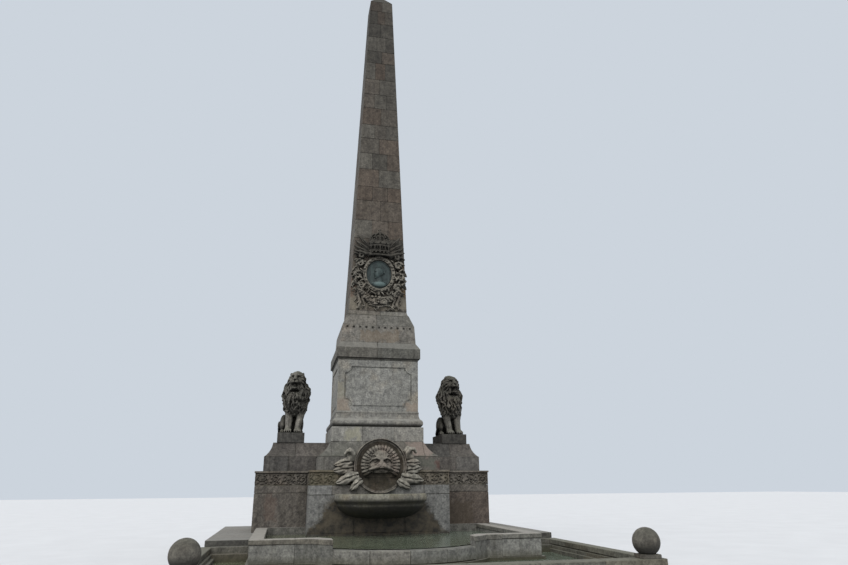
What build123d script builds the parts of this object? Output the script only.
from build123d import *
import os
from math import atan2, cos, pi, sin, sqrt

# A stone obelisk with its fountain, in millimetres. The front faces -Y, +Z is up, and the
# origin lies under the middle of the shaft, on the underside of the masonry.

# Outer pool
POOL_FLOOR = 100
POOL_RIM_TOP = 600
POOL_FRONT_RIM_WIDTH = 420
POOL_SIDE_RIM_WIDTH = 260
POOL_COPING = 150
POOL_COPING_LIP = 30
POOL_FRONT = 10210
BALL_INSET = 340
BALL_RADIUS = 323
BALL_SEAT = 130
BALL_PAD_HALF = 230
BALL_PAD_HEIGHT = 95
BALL_BANDS = 8
BALL_SIDES = 24

# Platform round the monument and the two steps down into the pool
PLATFORM_TOP = 772
PLATFORM_OVER_RIM = 200
PLATFORM_FRONT = 4208
PLATFORM_BACK = 2900
STEP_RISE = 165
STEP_TREAD = 330
STEP_LENGTH = 1171

# Inner basin
BASIN_FLOOR = 320
BASIN_FOOTING_LEDGE = 80
BASIN_RIM_TOP = 930
BASIN_INSET = 181
BASIN_WALL = 346
BASIN_COPING = 130
BASIN_COPING_LIP = 20
BASIN_FRONT = 6600
BASIN_BACK_WALL = 116
BOW_RADIUS = 3069
BOW_CENTRE = 4769
WEIR_TOP = 674
WEIR_HALF_WIDTH = 1947

# Centre block and the stages above it, each by half its width and its height
BLOCK_HALF = 2460
BLOCK_WALL_HEIGHT = 1528
FRIEZE_HEIGHT = 500
FILLET_HEIGHT = 60
FILLET_LIP = 30
UPPER_HALF = 2190
UPPER_HEIGHT = 470
SLOPE_HEIGHT = 550
SLOPE_HOLLOW = 60
PLINTH_HALF = 1705
PLINTH_HEIGHT = 526
TORUS_HALF = 1695
TORUS_NECK_HALF = 1600
TORUS_HEIGHT = 297
SCOTIA_HEIGHT = 237
SCOTIA_HOLLOW = 22
BEAD_HEIGHT = 60
BEAD_LIP = 25
DIE_HALF = 1535
DIE_HEIGHT = 1914
PANEL_HALF = 1287
PANEL_MARGIN = 200
PANEL_DROP = 49
PANEL_NOTCH = 250
PANEL_DEPTH = 45
TABLET_GROOVE = 55
TABLET_THICKNESS = 30
CAVETTO_HEIGHT = 99
CAVETTO_PROUD = 50
FASCIA_HALF = 1617
FASCIA_HEIGHT = 379
WEATHERING_HEIGHT = 248
SOCLE_HALF = 1464
SOCLE_TOP_HALF = 1419
SOCLE_HEIGHT = 693
RECESS_COUNT = 11
RECESS_SIZE = 85
RECESS_DEPTH = 60
RECESS_DROP = 90
BATTER_HEIGHT = 462
BATTER_TOP_HALF = 1240
FLARE_HEIGHT = 198
SHAFT_HALF = 1160
SHAFT_HEIGHT = 15939
SHAFT_TOP_HALF = 527
POINT_HEIGHT = 790

# Wings that carry the lions
WING_HALF_WIDTH = 4290
WING_HALF_DEPTH = 1287
WING_SET_BACK = 245
WING_UPPER_HEIGHT = 505
WING_SLOPE_HEIGHT = 515
WING_SLOPE_INSET = 285
LION_PLINTH_INNER = 2640
LION_PLINTH_OUTER = 3630
LION_PLINTH_HALF_DEPTH = 792
LION_PLINTH_HEIGHT = 363
LION_HEIGHT = 2420
LION_HEAD_TURN_DEG = 12
LION_LEAN = 70
LION_SHIFT = 100

# Fountain bowl on the front of the block
BOWL_RADIUS = 1600
BOWL_TOP = 2019
BOWL_BAND = 264
BOWL_WALL = 230
BOWL_DEPTH = 240
BOWL_UNDERSIDE = 520
BOWL_FOOT = 400
BOWL_BULGE = 40
BOWL_LEAN = 60
BOWL_BANDS = 4

# Roundel above the bowl
ROUNDEL_HEIGHT = 2940
ROUNDEL_RADIUS = 925
ROUNDEL_PROUD = 160
ROUNDEL_RIM = 90
ROUNDEL_SINKING = 90
GADROON_RISE = 100
GADROON_OUTER = 700
GADROON_INNER = 400
GADROON_BED = 60
GADROON_HALF_WIDTH = 52
GADROON_PITCH_DEG = 10.7
GADROON_SPAN_DEG = 246
BOSS_RADIUS = 380
BOSS_PROUD = 170
LIP_HALF_WIDTH = 330
LIP_DROP = 130
LIP_PROUD = 250
EYE_SPREAD = 190
EYE_RADIUS = 60
LEAF_PROUD = 110

# Carved group on the shaft
MEDAL_HEIGHT = 10470
MEDAL_HALF_WIDTH = 510
MEDAL_HALF_HEIGHT = 600
MEDAL_FRAME = 150
MEDAL_FRAME_PROUD = 190
MEDAL_RELIEF = 90
CROWN_HALF_WIDTH = 390
CROWN_HEIGHT = 820
CROWN_BAND = 170
CROWN_PROUD = 260
CROWN_ORB = 90
DRAPERY_REACH = 1010
DRAPERY_DROP = 1500
DRAPERY_PROUD = 120
FESTOON_HALF_WIDTH = 780
FESTOON_DROP = 560
FESTOON_THICKNESS = 260
FESTOON_PROUD = 170

# Leaves beside the roundel, on its right: how far their stalks lie beside its middle and over
# it, their angle in degrees, length and width
LEAVES = [(1040, 40, 90, 640, 260), (1020, 600, 5, 300, 170), (880, 105, 3, 700, 260),
          (880, -100, -3, 700, 260), (740, -300, -22, 770, 260), (600, -420, -42, 620, 220)]

SIDES = {"left": -1, "right": 1}
BASIN_HALF_WIDTH = WING_HALF_WIDTH - BASIN_INSET
POOL_HALF_WIDTH = BASIN_HALF_WIDTH + STEP_LENGTH
PLATFORM_HALF_WIDTH = POOL_HALF_WIDTH + PLATFORM_OVER_RIM

# Levels, each from the ones below it
BLOCK_TOP = PLATFORM_TOP + BLOCK_WALL_HEIGHT
FRIEZE_TOP = BLOCK_TOP + FRIEZE_HEIGHT
UPPER_TOP = FRIEZE_TOP + UPPER_HEIGHT
SLOPE_TOP = UPPER_TOP + SLOPE_HEIGHT
PLINTH_TOP = SLOPE_TOP + PLINTH_HEIGHT
TORUS_TOP = PLINTH_TOP + TORUS_HEIGHT
MOULDING_TOP = TORUS_TOP + SCOTIA_HEIGHT + BEAD_HEIGHT
DIE_TOP = MOULDING_TOP + DIE_HEIGHT
FASCIA_BOTTOM = DIE_TOP + CAVETTO_HEIGHT
FASCIA_TOP = FASCIA_BOTTOM + FASCIA_HEIGHT
CORNICE_TOP = FASCIA_TOP + WEATHERING_HEIGHT
SOCLE_TOP = CORNICE_TOP + SOCLE_HEIGHT
BATTER_TOP = SOCLE_TOP + BATTER_HEIGHT
FLARE_TOP = BATTER_TOP + FLARE_HEIGHT
SHAFT_TOP = FLARE_TOP + SHAFT_HEIGHT
TIP = SHAFT_TOP + POINT_HEIGHT
WING_UPPER_TOP = FRIEZE_TOP + WING_UPPER_HEIGHT
WING_TOP = WING_UPPER_TOP + WING_SLOPE_HEIGHT
LION_FOOT = WING_TOP + LION_PLINTH_HEIGHT
GADROON_LEVEL = ROUNDEL_HEIGHT + GADROON_RISE

# Longer than the whole monument, for cuts that go right through
REACH = TIP + POOL_FRONT


def stone(x0, x1, y0, y1, z0, z1):
    """A squared stone between two corners."""
    return Pos((x0 + x1) / 2, (y0 + y1) / 2, (z0 + z1) / 2) * Box(x1 - x0, y1 - y0, z1 - z0)


def outline(half, path):
    """Upright face, the same left and right, whose right edge climbs the path. A step holds
    inset and level, and an arc's step also holds the inset and level of a point on the arc."""
    edges = []
    inset, z = path[0]
    x = half - inset
    edges.append(Line((-x, z), (x, z)))
    for step in path[1:]:
        end_x, end_z = half - step[0], step[1]
        for side in (-1, 1):
            if len(step) == 4:
                middle = (side * (half - step[2]), step[3])
                edges.append(ThreePointArc((side * x, z), middle, (side * end_x, end_z)))
            else:
                edges.append(Line((side * x, z), (side * end_x, end_z)))
        x, z = end_x, end_z
    if x > 0:
        edges.append(Line((-x, z), (x, z)))
    return make_face(edges)


def course(half_x, half_y, path):
    """A course of four mitred sides that all have the path as their profile."""
    front = extrude(Plane.XZ * outline(half_x, path), amount=REACH, both=True)
    side = extrude(Plane.YZ * outline(half_y, path), amount=REACH, both=True)
    return front & side


def turned(profile):
    """A solid turned about the vertical axis from its (radius, level) points."""
    return revolve(Plane.XZ * make_face(Polyline(profile, close=True)), Axis.Z, 360)


def faceted(rings):
    """A closed body through rings of as many points each, with flat triangles between the
    rings and a flat face on each end."""
    count = len(rings[0])
    faces = []
    for low, high in zip(rings, rings[1:]):
        for k in range(count):
            a, b, c, d = low[k - 1], low[k], high[k], high[k - 1]
            for corners in ((a, b, c), (a, c, d)):
                faces.append(make_face(Polyline(corners, close=True)))
    for ring in (rings[0], rings[-1]):
        faces.append(make_face(Polyline(ring, close=True)))
    body = Solid(Shell([face.face() for face in faces]))
    return body if body.volume > 0 else -body


def ball():
    """A stone ball on its square pad, in narrow flat facets."""
    rise = sqrt(BALL_RADIUS ** 2 - BALL_SEAT ** 2)
    low = -atan2(rise, BALL_SEAT)
    centre = BALL_PAD_HEIGHT + rise
    rings = []
    for band in range(BALL_BANDS + 1):
        angle = low + (-2 * low) * band / BALL_BANDS
        radius, z = BALL_RADIUS * cos(angle), centre + BALL_RADIUS * sin(angle)
        turns = [2 * pi * k / BALL_SIDES for k in range(BALL_SIDES)]
        rings.append([(radius * cos(turn), radius * sin(turn), z) for turn in turns])
    half = BALL_PAD_HALF
    return faceted(rings) + stone(-half, half, -half, half, 0, BALL_PAD_HEIGHT)


def shaft_half(z):
    """Half the shaft's width at a level."""
    share = (z - FLARE_TOP) / SHAFT_HEIGHT
    return SHAFT_HALF + (SHAFT_TOP_HALF - SHAFT_HALF) * share


def pool():
    """Outer pool: its floor, its rim of three walls with copings, and the two stone balls."""
    rim_outer = POOL_HALF_WIDTH + POOL_SIDE_RIM_WIDTH
    front_outer = POOL_FRONT + POOL_FRONT_RIM_WIDTH
    wall_top = POOL_RIM_TOP - POOL_COPING
    floor = stone(-POOL_HALF_WIDTH, POOL_HALF_WIDTH, -POOL_FRONT, -PLATFORM_FRONT, 0, POOL_FLOOR)
    floor += stone(-BASIN_HALF_WIDTH, BASIN_HALF_WIDTH, -PLATFORM_FRONT, -WING_HALF_DEPTH,
                   0, POOL_FLOOR)
    parts = {"pool_floor": floor}
    lip = POOL_COPING_LIP
    rim = stone(-rim_outer, rim_outer, -front_outer, -POOL_FRONT, 0, wall_top)
    rim += stone(-rim_outer - lip, rim_outer + lip, -front_outer - lip, -POOL_FRONT + lip,
                 wall_top, POOL_RIM_TOP)
    parts["pool_rim_front"] = rim
    for name, side in SIDES.items():
        inner, outer = sorted((side * POOL_HALF_WIDTH, side * rim_outer))
        rim = stone(inner, outer, -POOL_FRONT, -PLATFORM_FRONT, 0, wall_top)
        rim += stone(inner - lip, outer + lip, -POOL_FRONT + lip, -PLATFORM_FRONT,
                     wall_top, POOL_RIM_TOP)
        parts["pool_rim_" + name] = rim
        ball_y = -POOL_FRONT - POOL_FRONT_RIM_WIDTH / 2
        spot = Pos(side * (rim_outer - BALL_INSET), ball_y, POOL_RIM_TOP)
        parts["ball_" + name] = spot * ball()
    return parts


def platform(pool_parts, footing):
    """Platform on three sides of the basin, and the steps from it into the pool."""
    half = PLATFORM_HALF_WIDTH
    slab = stone(-half, half, -PLATFORM_FRONT, PLATFORM_BACK, 0, PLATFORM_TOP)
    slab -= stone(-BASIN_HALF_WIDTH, BASIN_HALF_WIDTH, -REACH, -WING_HALF_DEPTH, 0, PLATFORM_TOP)
    front = -PLATFORM_FRONT
    first = PLATFORM_TOP - STEP_RISE
    second = first - STEP_RISE
    profile = Polyline((front, POOL_FLOOR), (front, first), (front - STEP_TREAD, first),
                       (front - STEP_TREAD, second), (front - 2 * STEP_TREAD, second),
                       (front - 2 * STEP_TREAD, POOL_FLOOR), close=True)
    flight = extrude(Plane.YZ * make_face(profile), amount=POOL_HALF_WIDTH, both=True)
    flight -= stone(-BASIN_HALF_WIDTH, BASIN_HALF_WIDTH, -REACH, REACH, 0, REACH)
    flight = flight - footing - pool_parts["pool_rim_left"] - pool_parts["pool_rim_right"]
    return {"platform": slab, "steps": flight}


def ring_sector(inner, outer, z0, z1):
    """Round wall about the centre of the basin's bow."""
    ring = Cylinder(outer, z1 - z0) - Cylinder(inner, z1 - z0)
    return Pos(0, -BOW_CENTRE, (z0 + z1) / 2) * ring


def basin():
    """Inner basin: its footing, its side and front walls with copings, and the round weir."""
    half, wall, front = BASIN_HALF_WIDTH, BASIN_WALL, BASIN_FRONT
    wall_top = BASIN_RIM_TOP - BASIN_COPING
    lip = BASIN_COPING_LIP
    ledge = BASIN_FOOTING_LEDGE
    bow_edge = sqrt(BOW_RADIUS ** 2 - (front - BOW_CENTRE) ** 2)
    footing = stone(-half - ledge, half + ledge, -front - ledge, -PLATFORM_FRONT,
                    POOL_FLOOR, BASIN_FLOOR)
    footing += stone(-half, half, -PLATFORM_FRONT, -WING_HALF_DEPTH, POOL_FLOOR, BASIN_FLOOR)
    footing += Pos(0, -BOW_CENTRE, (POOL_FLOOR + BASIN_FLOOR) / 2) * Cylinder(
        BOW_RADIUS + ledge, BASIN_FLOOR - POOL_FLOOR)
    parts = {"basin_floor": footing}

    ahead = stone(-bow_edge, bow_edge, -REACH, -front, 0, REACH)
    middle = stone(-WEIR_HALF_WIDTH, WEIR_HALF_WIDTH, -REACH, -BOW_CENTRE, 0, REACH)
    inner = BOW_RADIUS - wall
    bow = ring_sector(inner, BOW_RADIUS, BASIN_FLOOR, wall_top)
    bow_coping = ring_sector(inner - lip, BOW_RADIUS + lip, wall_top, BASIN_RIM_TOP)
    weir = ring_sector(inner, BOW_RADIUS, BASIN_FLOOR, WEIR_TOP) & middle
    parts["weir"] = weir

    back = -WING_HALF_DEPTH - BASIN_BACK_WALL
    backs = []
    for name, side in SIDES.items():
        near, far = sorted((side * (half - wall), side * half))
        long_wall = stone(near, far, -front, -WING_HALF_DEPTH, BASIN_FLOOR, wall_top)
        long_coping = stone(near - lip, far + lip, -front - lip, -WING_HALF_DEPTH,
                            wall_top, BASIN_RIM_TOP)
        near, far = sorted((side * WEIR_HALF_WIDTH, side * (half - wall)))
        straight = stone(near, far, -front, -front + wall, BASIN_FLOOR, wall_top)
        straight_coping = stone(near, far, -front - lip, -front + wall + lip,
                                wall_top, BASIN_RIM_TOP)
        beyond = stone(near, far, -REACH, -front + wall / 2, 0, REACH)
        inside = Pos(0, -BOW_CENTRE, REACH / 2) * Cylinder(inner, REACH)
        inside_lip = Pos(0, -BOW_CENTRE, REACH / 2) * Cylinder(inner - lip, REACH)
        parts["basin_wall_" + name] = long_wall + (straight - inside) + (bow & beyond)
        parts["basin_coping_" + name] = (long_coping + (straight_coping - inside_lip)
                                         + (bow_coping & beyond))
        near, far = sorted((side * BLOCK_HALF, side * (half - wall - lip)))
        backs.append(stone(near, far, back, -WING_HALF_DEPTH, BASIN_FLOOR, BASIN_RIM_TOP))
    parts["basin_back"] = Compound(children=backs)
    return parts


def tablet_outline(half_width, half_height, notch):
    """Upright panel with its corners cut away by quarter circles."""
    panel = Rectangle(2 * half_width, 2 * half_height)
    for x in (-1, 1):
        for y in (-1, 1):
            panel -= Pos(x * half_width, y * half_height) * Circle(notch)
    return panel


def recess_row():
    """One row of small square sinkings on each of the four sides of the socle."""
    pitch = 2 * SOCLE_TOP_HALF / (RECESS_COUNT + 0.5)
    level = SOCLE_TOP - RECESS_DROP
    row = []
    for turn in range(4):
        for k in range(RECESS_COUNT):
            x = (k - (RECESS_COUNT - 1) / 2) * pitch
            hole = Pos(x, -SOCLE_TOP_HALF, level) * Box(RECESS_SIZE, 2 * RECESS_DEPTH, RECESS_SIZE)
            row.append(Rot(0, 0, 90 * turn) * hole)
    return row


def cap_profile():
    """Profile of the set-back cap on the block: an upright course, then a hollowed slope."""
    run = UPPER_HALF - PLINTH_HALF
    return [(0, FRIEZE_TOP), (0, UPPER_TOP),
            (run, SLOPE_TOP, run / 2 + SLOPE_HOLLOW, UPPER_TOP + SLOPE_HEIGHT / 2)]


def monument():
    """Centre block, pedestal, cornice and socle under the shaft."""
    half = BLOCK_HALF
    wall = stone(-half, half, -half, half, PLATFORM_TOP, BLOCK_TOP)
    wall += stone(-half, half, -half, -WING_HALF_DEPTH, BASIN_FLOOR, PLATFORM_TOP)
    parts = {"block_wall": wall}
    fillet = FRIEZE_TOP - FILLET_HEIGHT
    parts["block_frieze"] = course(half, half, [(0, BLOCK_TOP), (0, fillet), (-FILLET_LIP, fillet),
                                                (-FILLET_LIP, FRIEZE_TOP)])
    parts["block_cap"] = course(UPPER_HALF, UPPER_HALF, cap_profile())
    parts["plinth"] = course(PLINTH_HALF, PLINTH_HALF, [(0, SLOPE_TOP), (0, PLINTH_TOP)])
    neck = TORUS_HALF - TORUS_NECK_HALF
    scotia_top = TORUS_TOP + SCOTIA_HEIGHT
    die_inset = TORUS_HALF - DIE_HALF
    bead = die_inset - BEAD_LIP
    parts["base_moulding"] = course(TORUS_HALF, TORUS_HALF, [
        (neck, PLINTH_TOP),
        (neck, TORUS_TOP, 0, PLINTH_TOP + TORUS_HEIGHT / 2),
        (bead, scotia_top, (neck + bead) / 2 + SCOTIA_HOLLOW, TORUS_TOP + SCOTIA_HEIGHT / 2),
        (die_inset, MOULDING_TOP)])

    die = course(DIE_HALF, DIE_HALF, [(0, MOULDING_TOP), (0, DIE_TOP)])
    middle = (MOULDING_TOP + DIE_TOP) / 2 - PANEL_DROP
    panel_half_height = DIE_HEIGHT / 2 - PANEL_MARGIN
    sunk = tablet_outline(PANEL_HALF, panel_half_height, PANEL_NOTCH)
    raised = tablet_outline(PANEL_HALF - TABLET_GROOVE, panel_half_height - TABLET_GROOVE,
                            PANEL_NOTCH)
    face = Plane(origin=(0, -DIE_HALF, middle), x_dir=(1, 0, 0), z_dir=(0, -1, 0))
    cut = extrude(face * sunk, amount=-PANEL_DEPTH)
    floor = Plane(origin=(0, -DIE_HALF + PANEL_DEPTH, middle), x_dir=(1, 0, 0), z_dir=(0, -1, 0))
    tablet = extrude(floor * raised, amount=TABLET_THICKNESS)
    turns = [Rot(0, 0, 90 * turn) for turn in range(4)]
    parts["die"] = die - [turn * cut for turn in turns]
    parts["tablets"] = Compound(children=[turn * tablet for turn in turns])

    proud = FASCIA_HALF - DIE_HALF
    parts["cornice"] = course(FASCIA_HALF, FASCIA_HALF, [
        (proud, DIE_TOP),
        (proud - CAVETTO_PROUD, FASCIA_BOTTOM, proud - CAVETTO_PROUD / 4,
         DIE_TOP + CAVETTO_HEIGHT * 0.6),
        (0, FASCIA_BOTTOM), (0, FASCIA_TOP), (FASCIA_HALF - SOCLE_HALF, CORNICE_TOP)])
    socle = course(SOCLE_HALF, SOCLE_HALF, [(0, CORNICE_TOP),
                                            (SOCLE_HALF - SOCLE_TOP_HALF, SOCLE_TOP)])
    parts["socle"] = socle - recess_row()
    parts["batter"] = course(SOCLE_TOP_HALF, SOCLE_TOP_HALF, [
        (0, SOCLE_TOP), (SOCLE_TOP_HALF - BATTER_TOP_HALF, BATTER_TOP)])
    return parts


def obelisk():
    """The tapered shaft with its flared foot, and its point."""
    run = BATTER_TOP_HALF - SHAFT_HALF
    return {
        "shaft_foot": course(BATTER_TOP_HALF, BATTER_TOP_HALF, [
            (0, BATTER_TOP), (run, FLARE_TOP, run * 0.75, BATTER_TOP + FLARE_HEIGHT / 2)]),
        "shaft": course(SHAFT_HALF, SHAFT_HALF, [
            (0, FLARE_TOP), (SHAFT_HALF - SHAFT_TOP_HALF, SHAFT_TOP)]),
        "point": course(SHAFT_TOP_HALF, SHAFT_TOP_HALF, [
            (0, SHAFT_TOP), (SHAFT_TOP_HALF, TIP)]),
    }


def limb(sections, sides=10):
    """A faceted limb through oval sections. Each section holds its centre, its two half widths
    and the direction that the limb takes there."""
    rings = []
    for centre, (across, along), direction in sections:
        plane = Plane(origin=centre, x_dir=(1, 0, 0), z_dir=direction)
        ring = []
        for k in range(sides):
            angle = (k + 0.5) * 2 * pi / sides
            corner = plane.from_local_coords(Vector(across * cos(angle), along * sin(angle), 0))
            ring.append(tuple(corner))
        rings.append(ring)
    return faceted(rings)


def lion(side):
    """Seated lion in its own frame: it faces -Y, its paws rest at level 0, its mane leans
    towards the middle of the monument, and its head turns outward, to the given side."""
    h = LION_HEIGHT
    lean = -side * LION_LEAN / h
    up, ahead = (0, 0, 1), (0, -1, 0)

    def part(rows, direction=up, sides=8):
        """A limb from rows of x, y, z, half width and half depth, in shares of the height."""
        return limb([((x * h, y * h, z * h), (a * h, b * h), direction)
                     for x, y, z, a, b in rows], sides)

    body = part([(-0.03, 0.13, 0.00, 0.19, 0.19), (-0.04, 0.13, 0.13, 0.20, 0.20),
                 (-0.03, 0.09, 0.30, 0.16, 0.19), (0, 0.02, 0.45, 0.155, 0.17),
                 (lean / 2, -0.03, 0.60, 0.17, 0.16), (lean, -0.04, 0.70, 0.17, 0.15)], sides=12)
    body += part([(0, -0.19, 0.27, 0.03, 0.03), (0, -0.17, 0.36, 0.09, 0.07),
                  (lean / 3, -0.13, 0.48, 0.14, 0.12), (lean, -0.07, 0.60, 0.195, 0.175),
                  (lean, -0.05, 0.70, 0.205, 0.18), (lean, -0.06, 0.80, 0.16, 0.16),
                  (lean, -0.06, 0.88, 0.14, 0.145), (lean, -0.06, 0.95, 0.105, 0.115),
                  (lean, -0.06, 1.00, 0.05, 0.06)], sides=12)
    for s in (-1, 1):
        body += part([(s * 0.085, -0.19, 0.0, 0.065, 0.065), (s * 0.087, -0.18, 0.10, 0.058, 0.062),
                      (s * 0.095, -0.15, 0.24, 0.066, 0.07), (s * 0.11, -0.09, 0.42, 0.08, 0.09)])
        body += part([(s * 0.085, -0.17, 0.035, 0.060, 0.034), (s * 0.085, -0.25, 0.035, 0.064, 0.034),
                      (s * 0.085, -0.305, 0.024, 0.050, 0.023)], ahead)
        x = s * 0.15 - 0.045
        body += part([(x, 0.27, 0.15, 0.05, 0.07), (x, 0.18, 0.165, 0.075, 0.145),
                      (x, 0.05, 0.155, 0.07, 0.135), (x, -0.05, 0.12, 0.04, 0.06)], ahead)
        x = s * 0.17 - 0.045
        body += part([(x, 0.12, 0.035, 0.04, 0.034), (x, -0.04, 0.035, 0.042, 0.034),
                      (x, -0.11, 0.024, 0.036, 0.023)], ahead)
    head = part([(0, -0.10, 0.87, 0.10, 0.11), (0, -0.20, 0.865, 0.085, 0.085),
                 (0, -0.255, 0.85, 0.058, 0.052), (0, -0.285, 0.845, 0.040, 0.032)], ahead)
    pivot = Pos(lean * h, -0.05 * h, 0)
    body += pivot * Rot(0, 0, side * LION_HEAD_TURN_DEG) * Pos(0, 0.05 * h, 0) * head
    tail_x = -0.045 - 0.19
    body += part([(tail_x, 0.26, 0.04, 0.028, 0.028), (tail_x - 0.01, 0.15, 0.035, 0.026, 0.028),
                  (tail_x - 0.005, 0.05, 0.06, 0.026, 0.04)], ahead, 6)
    return body & stone(-h, h, -h, h, 0, h)


def wings():
    """The two lower wings with their friezes, sloped tops, plinths and lions."""
    centre = (BLOCK_HALF + WING_HALF_WIDTH) / 2
    half = (WING_HALF_WIDTH - BLOCK_HALF) / 2
    depth = WING_HALF_DEPTH
    fillet = FRIEZE_TOP - FILLET_HEIGHT
    parts = {}
    for name, side in SIDES.items():
        spot = Pos(side * centre, 0, 0)
        parts["wing_wall_" + name] = spot * course(half, depth, [(0, PLATFORM_TOP), (0, BLOCK_TOP)])
        band = spot * course(half, depth, [(0, BLOCK_TOP), (0, fillet), (-FILLET_LIP, fillet),
                                           (-FILLET_LIP, FRIEZE_TOP)])
        keep = stone(BLOCK_HALF + FILLET_LIP, REACH, -REACH, REACH, 0, REACH)
        lower_keep = stone(BLOCK_HALF, REACH, -REACH, REACH, 0, fillet)
        keep += lower_keep
        if side < 0:
            keep = mirror(keep, about=Plane.YZ)
        parts["wing_frieze_" + name] = band & keep
        upper_depth = depth - WING_SET_BACK
        outer = WING_HALF_WIDTH - WING_SET_BACK
        cap = course(outer, upper_depth, [
            (0, FRIEZE_TOP), (0, WING_UPPER_TOP),
            (WING_SLOPE_INSET, WING_TOP, WING_SLOPE_INSET / 2 + SLOPE_HOLLOW,
             WING_UPPER_TOP + WING_SLOPE_HEIGHT / 2)])
        near, far = sorted((0, side * REACH))
        cap &= stone(near, far, -REACH, REACH, 0, REACH)
        cap -= course(UPPER_HALF, REACH / 2, cap_profile())
        parts["wing_cap_" + name] = cap - stone(-PLINTH_HALF, PLINTH_HALF, -REACH, REACH,
                                                SLOPE_TOP, REACH)
        near, far = sorted((side * LION_PLINTH_INNER, side * LION_PLINTH_OUTER))
        parts["lion_plinth_" + name] = stone(near, far, -LION_PLINTH_HALF_DEPTH,
                                             LION_PLINTH_HALF_DEPTH, WING_TOP, LION_FOOT)
        parts["lion_" + name] = Pos((near + far) / 2 + LION_SHIFT, 0, LION_FOOT) * lion(side)
    return parts


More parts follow.
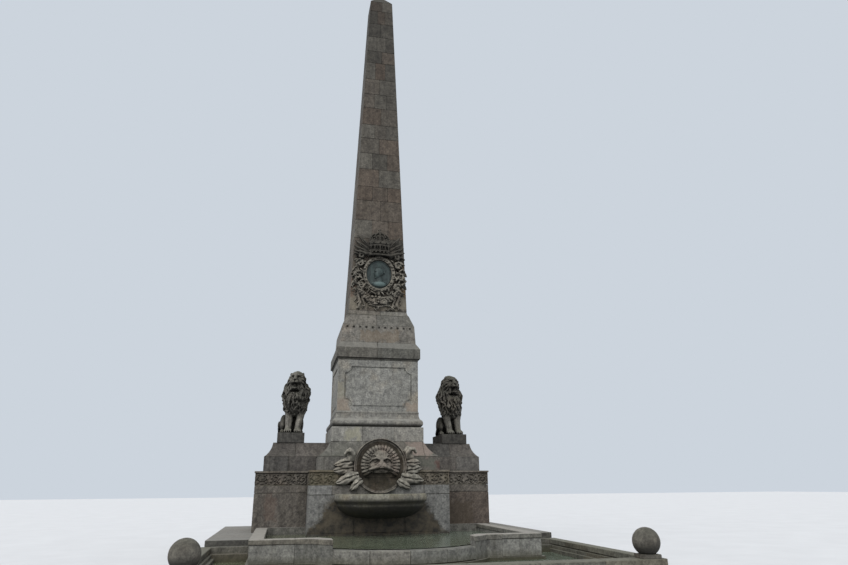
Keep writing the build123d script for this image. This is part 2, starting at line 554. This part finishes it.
def fountain():
    """Bowl, roundel with its gadroons and mask, and the leaves beside it."""
    face = -BLOCK_HALF
    r, top, band = BOWL_RADIUS, BOWL_TOP, BOWL_TOP - BOWL_BAND
    low = band - BOWL_UNDERSIDE
    floor = top - BOWL_DEPTH
    bulge = BOWL_BULGE
    outer = [(r - bulge, top), (r, top - BOWL_BAND * 0.3), (r, band + BOWL_BAND * 0.25),
             (r - bulge, band)]
    under = []
    for k in range(BOWL_BANDS + 1):
        angle = pi / 2 * k / BOWL_BANDS
        under.append((BOWL_FOOT + (r - BOWL_FOOT - 2 * bulge) * cos(angle),
                      band - BOWL_UNDERSIDE * sin(angle)))
    profile = [(0, floor), (r - BOWL_WALL - BOWL_LEAN, floor), (r - BOWL_WALL, top)]
    bowl = Pos(0, face, 0) * turned(profile + outer + under + [(0, low)])
    bowl &= stone(-REACH, REACH, -REACH, face, 0, REACH)
    parts = {"bowl": bowl}

    masonry = [
        stone(-BLOCK_HALF, BLOCK_HALF, face, BLOCK_HALF, PLATFORM_TOP, FRIEZE_TOP),
        stone(-BLOCK_HALF, BLOCK_HALF, face - FILLET_LIP, face, FRIEZE_TOP - FILLET_HEIGHT,
              FRIEZE_TOP),
        course(UPPER_HALF, UPPER_HALF, cap_profile()),
    ]

    def drum(radius, front, back, level=ROUNDEL_HEIGHT):
        """A flat round stone on the front of the block."""
        body = Cylinder(radius, back - front)
        return Pos(0, (front + back) / 2, level) * Rot(90, 0, 0) * body

    front = face - ROUNDEL_PROUD
    back = -PLINTH_HALF - 1
    disc = drum(ROUNDEL_RADIUS, front, back)
    sinking = drum(ROUNDEL_RADIUS - ROUNDEL_RIM, front, front + ROUNDEL_SINKING)
    seat = front + ROUNDEL_SINKING
    bed = drum(GADROON_OUTER, seat - GADROON_BED, seat, GADROON_LEVEL)
    bed -= drum(GADROON_INNER, seat - GADROON_BED, seat, GADROON_LEVEL)
    ribs = []
    length = GADROON_OUTER - GADROON_INNER - 2 * GADROON_HALF_WIDTH
    reach = (GADROON_OUTER + GADROON_INNER) / 2
    count = int(GADROON_SPAN_DEG / GADROON_PITCH_DEG) + 1
    for k in range(count):
        turn = (k - (count - 1) / 2) * GADROON_PITCH_DEG
        rib = Pos(0, 0, reach) * Box(1.6 * GADROON_HALF_WIDTH, 2 * GADROON_HALF_WIDTH, length)
        rib = chamfer(rib.faces().sort_by(Axis.Y)[0].edges(), GADROON_HALF_WIDTH * 0.6)
        ribs.append(Pos(0, seat - GADROON_BED, GADROON_LEVEL) * Rot(0, turn, 0) * rib)
    parts["roundel"] = disc - sinking - masonry + bed + ribs

    boss = limb([((0, seat - BOSS_PROUD * proud, GADROON_LEVEL),
                  (BOSS_RADIUS * wide, BOSS_RADIUS * wide), (0, -1, 0))
                 for proud, wide in ((0, 1), (0.6, 0.85), (1, 0.45))], 16)
    low_lip = GADROON_LEVEL - LIP_DROP
    lip = make_face([
        ThreePointArc((-LIP_HALF_WIDTH, low_lip), (0, low_lip + LIP_HALF_WIDTH * 0.75),
                      (LIP_HALF_WIDTH, low_lip)),
        ThreePointArc((LIP_HALF_WIDTH, low_lip), (0, low_lip + LIP_HALF_WIDTH * 0.3),
                      (-LIP_HALF_WIDTH, low_lip)),
    ])
    mouth = extrude(Plane(origin=(0, seat, 0), x_dir=(1, 0, 0), z_dir=(0, -1, 0)) * lip,
                    amount=LIP_PROUD)
    eyes = [Pos(side * EYE_SPREAD, seat - BOSS_PROUD, GADROON_LEVEL + EYE_RADIUS) * Rot(90, 0, 0)
            * Cylinder(EYE_RADIUS, BOSS_PROUD) for side in (-1, 1)]
    hollow = stone(-LIP_HALF_WIDTH * 0.8, LIP_HALF_WIDTH * 0.8, seat - BOSS_PROUD, seat - BOSS_PROUD / 4,
                   low_lip - LIP_DROP, low_lip + LIP_HALF_WIDTH * 0.3)
    parts["mask"] = boss - eyes - hollow + mouth

    for name, side in SIDES.items():
        leaves = []
        for x, z, angle, long, wide in LEAVES:
            tip = make_face([ThreePointArc((0, 0), (long * 0.45, wide / 2), (long, 0)),
                             ThreePointArc((long, 0), (long * 0.45, -wide / 2), (0, 0))])
            leaves.append(Pos(x, ROUNDEL_HEIGHT + z) * Rot(0, 0, angle) * tip)
        spray = Sketch() + leaves
        if side < 0:
            spray = mirror(spray, about=Plane.YZ)
        plate = extrude(Plane.XZ * spray, amount=REACH / 2, both=True)
        plate &= stone(-REACH, REACH, face - LEAF_PROUD, back, 0, REACH)
        parts["leaves_" + name] = plate - masonry - drum(ROUNDEL_RADIUS, front, back)
    return parts


def medallion():
    """Oval medal with its carved frame, crown, drapery and festoon on the shaft's front."""
    shaft = course(SHAFT_HALF, SHAFT_HALF, [(0, FLARE_TOP),
                                            (SHAFT_HALF - SHAFT_TOP_HALF, SHAFT_TOP)])
    z = MEDAL_HEIGHT
    face = -shaft_half(z)

    def carve(sketch, proud):
        """A piece of the given front outline that stands proud of the shaft's face."""
        body = extrude(Plane(origin=(0, face - proud, z), x_dir=(1, 0, 0), z_dir=(0, -1, 0))
                       * sketch, amount=-(proud - face))
        return body - shaft

    oval = Ellipse(MEDAL_HALF_WIDTH, MEDAL_HALF_HEIGHT)
    outer = Ellipse(MEDAL_HALF_WIDTH + MEDAL_FRAME, MEDAL_HALF_HEIGHT + MEDAL_FRAME)
    foot = MEDAL_HALF_HEIGHT + MEDAL_FRAME
    half, band = CROWN_HALF_WIDTH, CROWN_BAND
    crown = make_face([
        Line((-half * 0.8, foot), (half * 0.8, foot)),
        Line((half * 0.8, foot), (half * 0.85, foot + band)),
        ThreePointArc((half * 0.85, foot + band), (half, foot + CROWN_HEIGHT * 0.55),
                      (0, foot + CROWN_HEIGHT)),
        ThreePointArc((0, foot + CROWN_HEIGHT), (-half, foot + CROWN_HEIGHT * 0.55),
                      (-half * 0.85, foot + band)),
        Line((-half * 0.85, foot + band), (-half * 0.8, foot)),
    ])
    crown += Pos(0, foot + CROWN_HEIGHT + CROWN_ORB / 2) * Circle(CROWN_ORB)

    hang = foot + CROWN_HEIGHT
    drape = make_face([
        ThreePointArc((half, hang - CROWN_ORB), (DRAPERY_REACH * 0.75, hang),
                      (DRAPERY_REACH, hang - DRAPERY_DROP * 0.3)),
        ThreePointArc((DRAPERY_REACH, hang - DRAPERY_DROP * 0.3),
                      (DRAPERY_REACH * 0.85, hang - DRAPERY_DROP * 0.6),
                      (DRAPERY_REACH * 0.95, hang - DRAPERY_DROP)),
        Line((DRAPERY_REACH * 0.95, hang - DRAPERY_DROP), (half, hang - DRAPERY_DROP)),
        Line((half, hang - DRAPERY_DROP), (half, hang - CROWN_ORB)),
    ])
    drape = drape - outer - crown
    drapes = drape + mirror(drape, about=Plane.YZ)

    festoon = make_face([
        ThreePointArc((-FESTOON_HALF_WIDTH, 0), (0, -foot - FESTOON_DROP),
                      (FESTOON_HALF_WIDTH, 0)),
        Line((FESTOON_HALF_WIDTH, 0), (-FESTOON_HALF_WIDTH, 0)),
    ])
    festoon = festoon - outer - Pos(0, FESTOON_THICKNESS) * Rectangle(3 * REACH, foot)
    return {
        "medal_frame": carve(outer - oval, MEDAL_FRAME_PROUD),
        "medal": carve(oval, MEDAL_RELIEF),
        "crown": carve(crown - outer, CROWN_PROUD),
        "drapery": carve(drapes, DRAPERY_PROUD),
        "festoon": carve(festoon, FESTOON_PROUD),
    }


PARTS = pool()
PARTS.update(basin())
PARTS.update(platform(PARTS, PARTS["basin_floor"]))
for make in (monument, obelisk, wings, fountain, medallion):
    PARTS.update(make())

os.makedirs("parts", exist_ok=True)
for node, shape in PARTS.items():
    export_step(shape, "parts/" + node + ".step")
